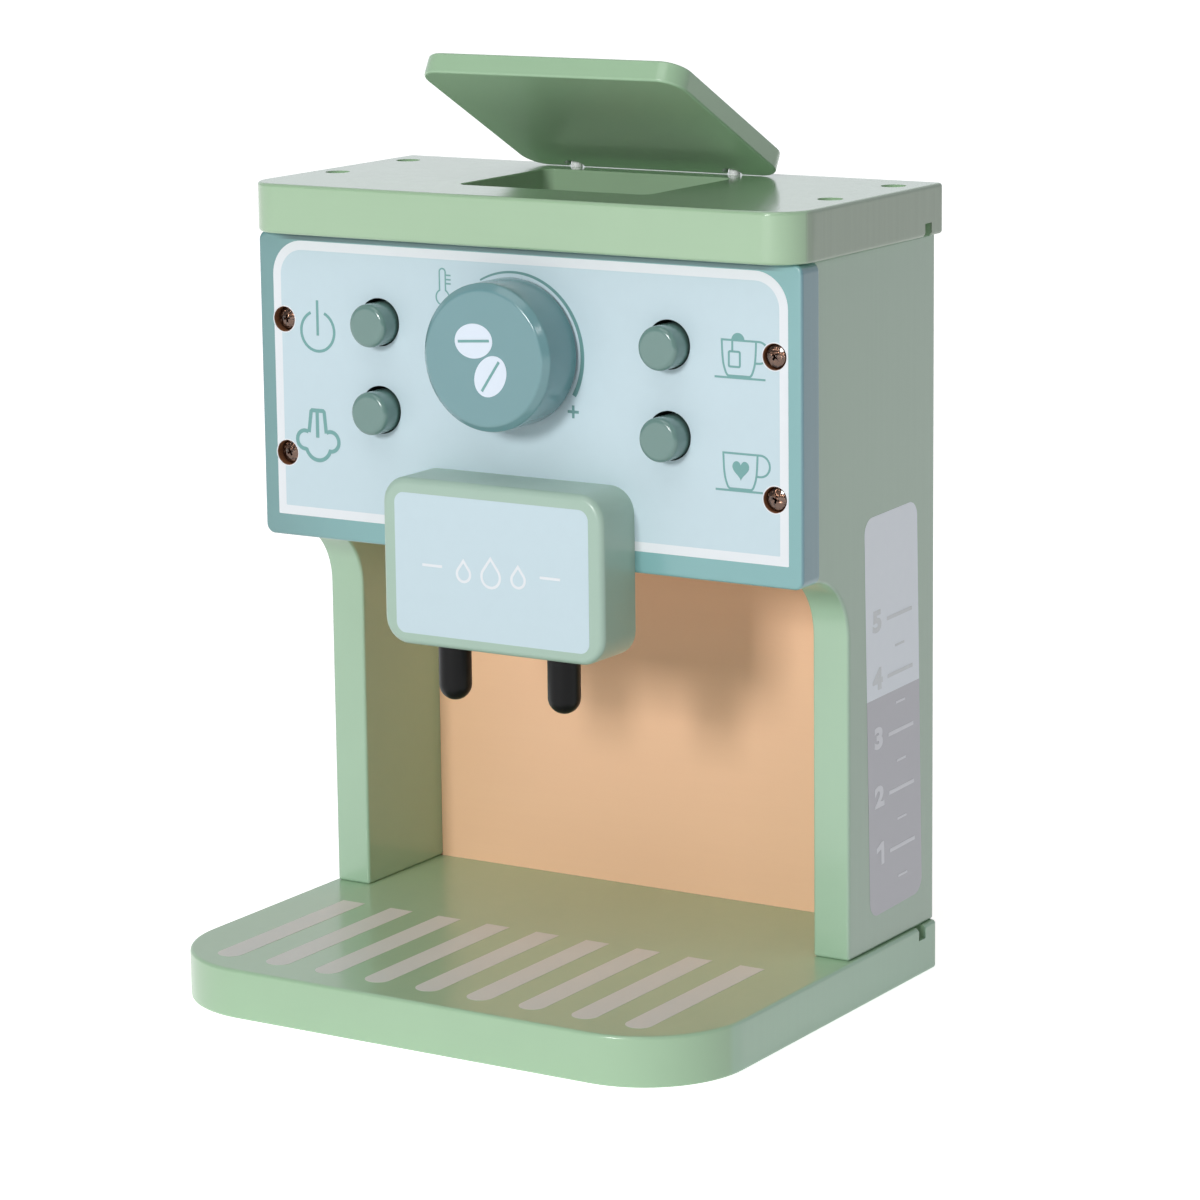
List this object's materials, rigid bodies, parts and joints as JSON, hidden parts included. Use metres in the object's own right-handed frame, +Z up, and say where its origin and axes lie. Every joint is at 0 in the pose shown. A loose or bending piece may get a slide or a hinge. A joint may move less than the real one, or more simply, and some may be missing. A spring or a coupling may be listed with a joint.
{
  "type": "toy coffee maker",
  "caption": "Painted wooden play-kitchen coffee maker with a hinged lid, a turning knob, sprung push buttons and a brew head with spouts over an open cup bay.",
  "frame": {"origin": "on the table, under the middle of the base board", "axes": "+Z up, -Y out of the front with the knob, buttons and brew head, +X to the right as seen from the front"},
  "size_m": [0.19, 0.15, 0.2788],
  "materials": {
    "green_paint": "satin green paint on hardwood",
    "teal_paint": "satin teal paint on hardwood",
    "knob_paint": "satin grey-teal paint on turned wood",
    "button_paint": "satin grey-green paint on turned wood",
    "mint_paint": "satin mint paint on hardwood",
    "black_paint": "satin black paint on turned wood",
    "birch_ply": "bare lacquered plywood",
    "beech": "bare turned beech",
    "bronze_screw": "bronzed cross-recess screws",
    "steel": "zinc-plated steel",
    "white_nylon": "moulded white plastic"
  },
  "bodies": {
    "case": {"base_board": "green_paint", "left_side": "green_paint", "right_side": "green_paint", "back_panel": "birch_ply", "top_board": "green_paint", "control_panel": "teal_paint", "chamber_floor": "birch_ply", "floor_dowels": "beech", "left_hinge_post": "white_nylon", "right_hinge_post": "white_nylon", "brew_head": "mint_paint", "left_spout": "black_paint", "right_spout": "black_paint", "brew_head_screws": "steel", "knob_spacer": "white_nylon", "power_spring": "steel", "steam_spring": "steel", "tea_spring": "steel", "coffee_spring": "steel", "left_bracket": "birch_ply", "right_bracket": "birch_ply", "bracket_screws": "steel", "panel_screws": "bronze_screw", "top_screws": "steel", "top_plugs": "green_paint", "base_screws": "steel"},
    "lid": {"lid": "green_paint", "left_hinge_pin": "steel", "right_hinge_pin": "steel"},
    "knob": {"knob": "knob_paint", "knob_shaft": "beech", "knob_washer": "steel", "knob_screw": "steel"},
    "power_button": {"power_button": "button_paint"},
    "steam_button": {"steam_button": "button_paint"},
    "tea_button": {"tea_button": "button_paint"},
    "coffee_button": {"coffee_button": "button_paint"}
  },
  "joints": [
    {"name": "lid_hinge", "type": "hinge", "parent": "case", "child": "lid", "pos_m": [0, 0.0675, 0.24355], "axis": [-1, 0, 0], "range_deg": [-28, 67]},
    {"name": "knob_turn", "type": "hinge", "parent": "case", "child": "knob", "pos_m": [-0.002, -0.018, 0.1943], "axis": [0, -1, 0], "continuous": true},
    {"name": "power_press", "type": "slide", "parent": "case", "child": "power_button", "axis": [0, 1, 0], "range_m": [0, 0.004], "stiffness_N_per_m": 300, "springref_m": -0.002, "deforming": ["power_spring"]},
    {"name": "steam_press", "type": "slide", "parent": "case", "child": "steam_button", "axis": [0, 1, 0], "range_m": [0, 0.004], "stiffness_N_per_m": 300, "springref_m": -0.002, "deforming": ["steam_spring"]},
    {"name": "tea_press", "type": "slide", "parent": "case", "child": "tea_button", "axis": [0, 1, 0], "range_m": [0, 0.004], "stiffness_N_per_m": 300, "springref_m": -0.002, "deforming": ["tea_spring"]},
    {"name": "coffee_press", "type": "slide", "parent": "case", "child": "coffee_button", "axis": [0, 1, 0], "range_m": [0, 0.004], "stiffness_N_per_m": 300, "springref_m": -0.002, "deforming": ["coffee_spring"]}
  ]
}
